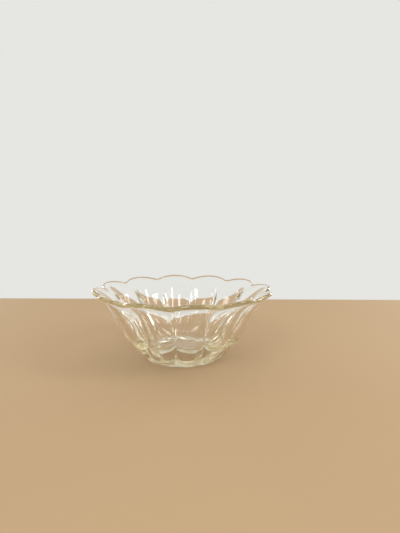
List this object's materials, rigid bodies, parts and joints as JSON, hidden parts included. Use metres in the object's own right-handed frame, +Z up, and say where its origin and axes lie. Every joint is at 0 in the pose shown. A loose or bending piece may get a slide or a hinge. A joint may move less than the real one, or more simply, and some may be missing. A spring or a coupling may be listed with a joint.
{
  "type": "dessert bowl",
  "caption": "Small pressed-glass dessert bowl with petal lobes, a flared scalloped rim and a thick flat-standing base, for serving fruit, ice cream or sweets.",
  "frame": {"origin": "centre of the standing ring, on the surface that the bowl stands on", "axes": "+Z up along the bowl's axis of symmetry, +X through the middle of one lobe"},
  "size_m": [0.1298, 0.1298, 0.0505],
  "materials": {
    "soda_glass": "clear pressed soda glass with a faint straw tint, fire-polished"
  },
  "bodies": {
    "root": {"bowl": "soda_glass"}
  },
  "joints": []
}
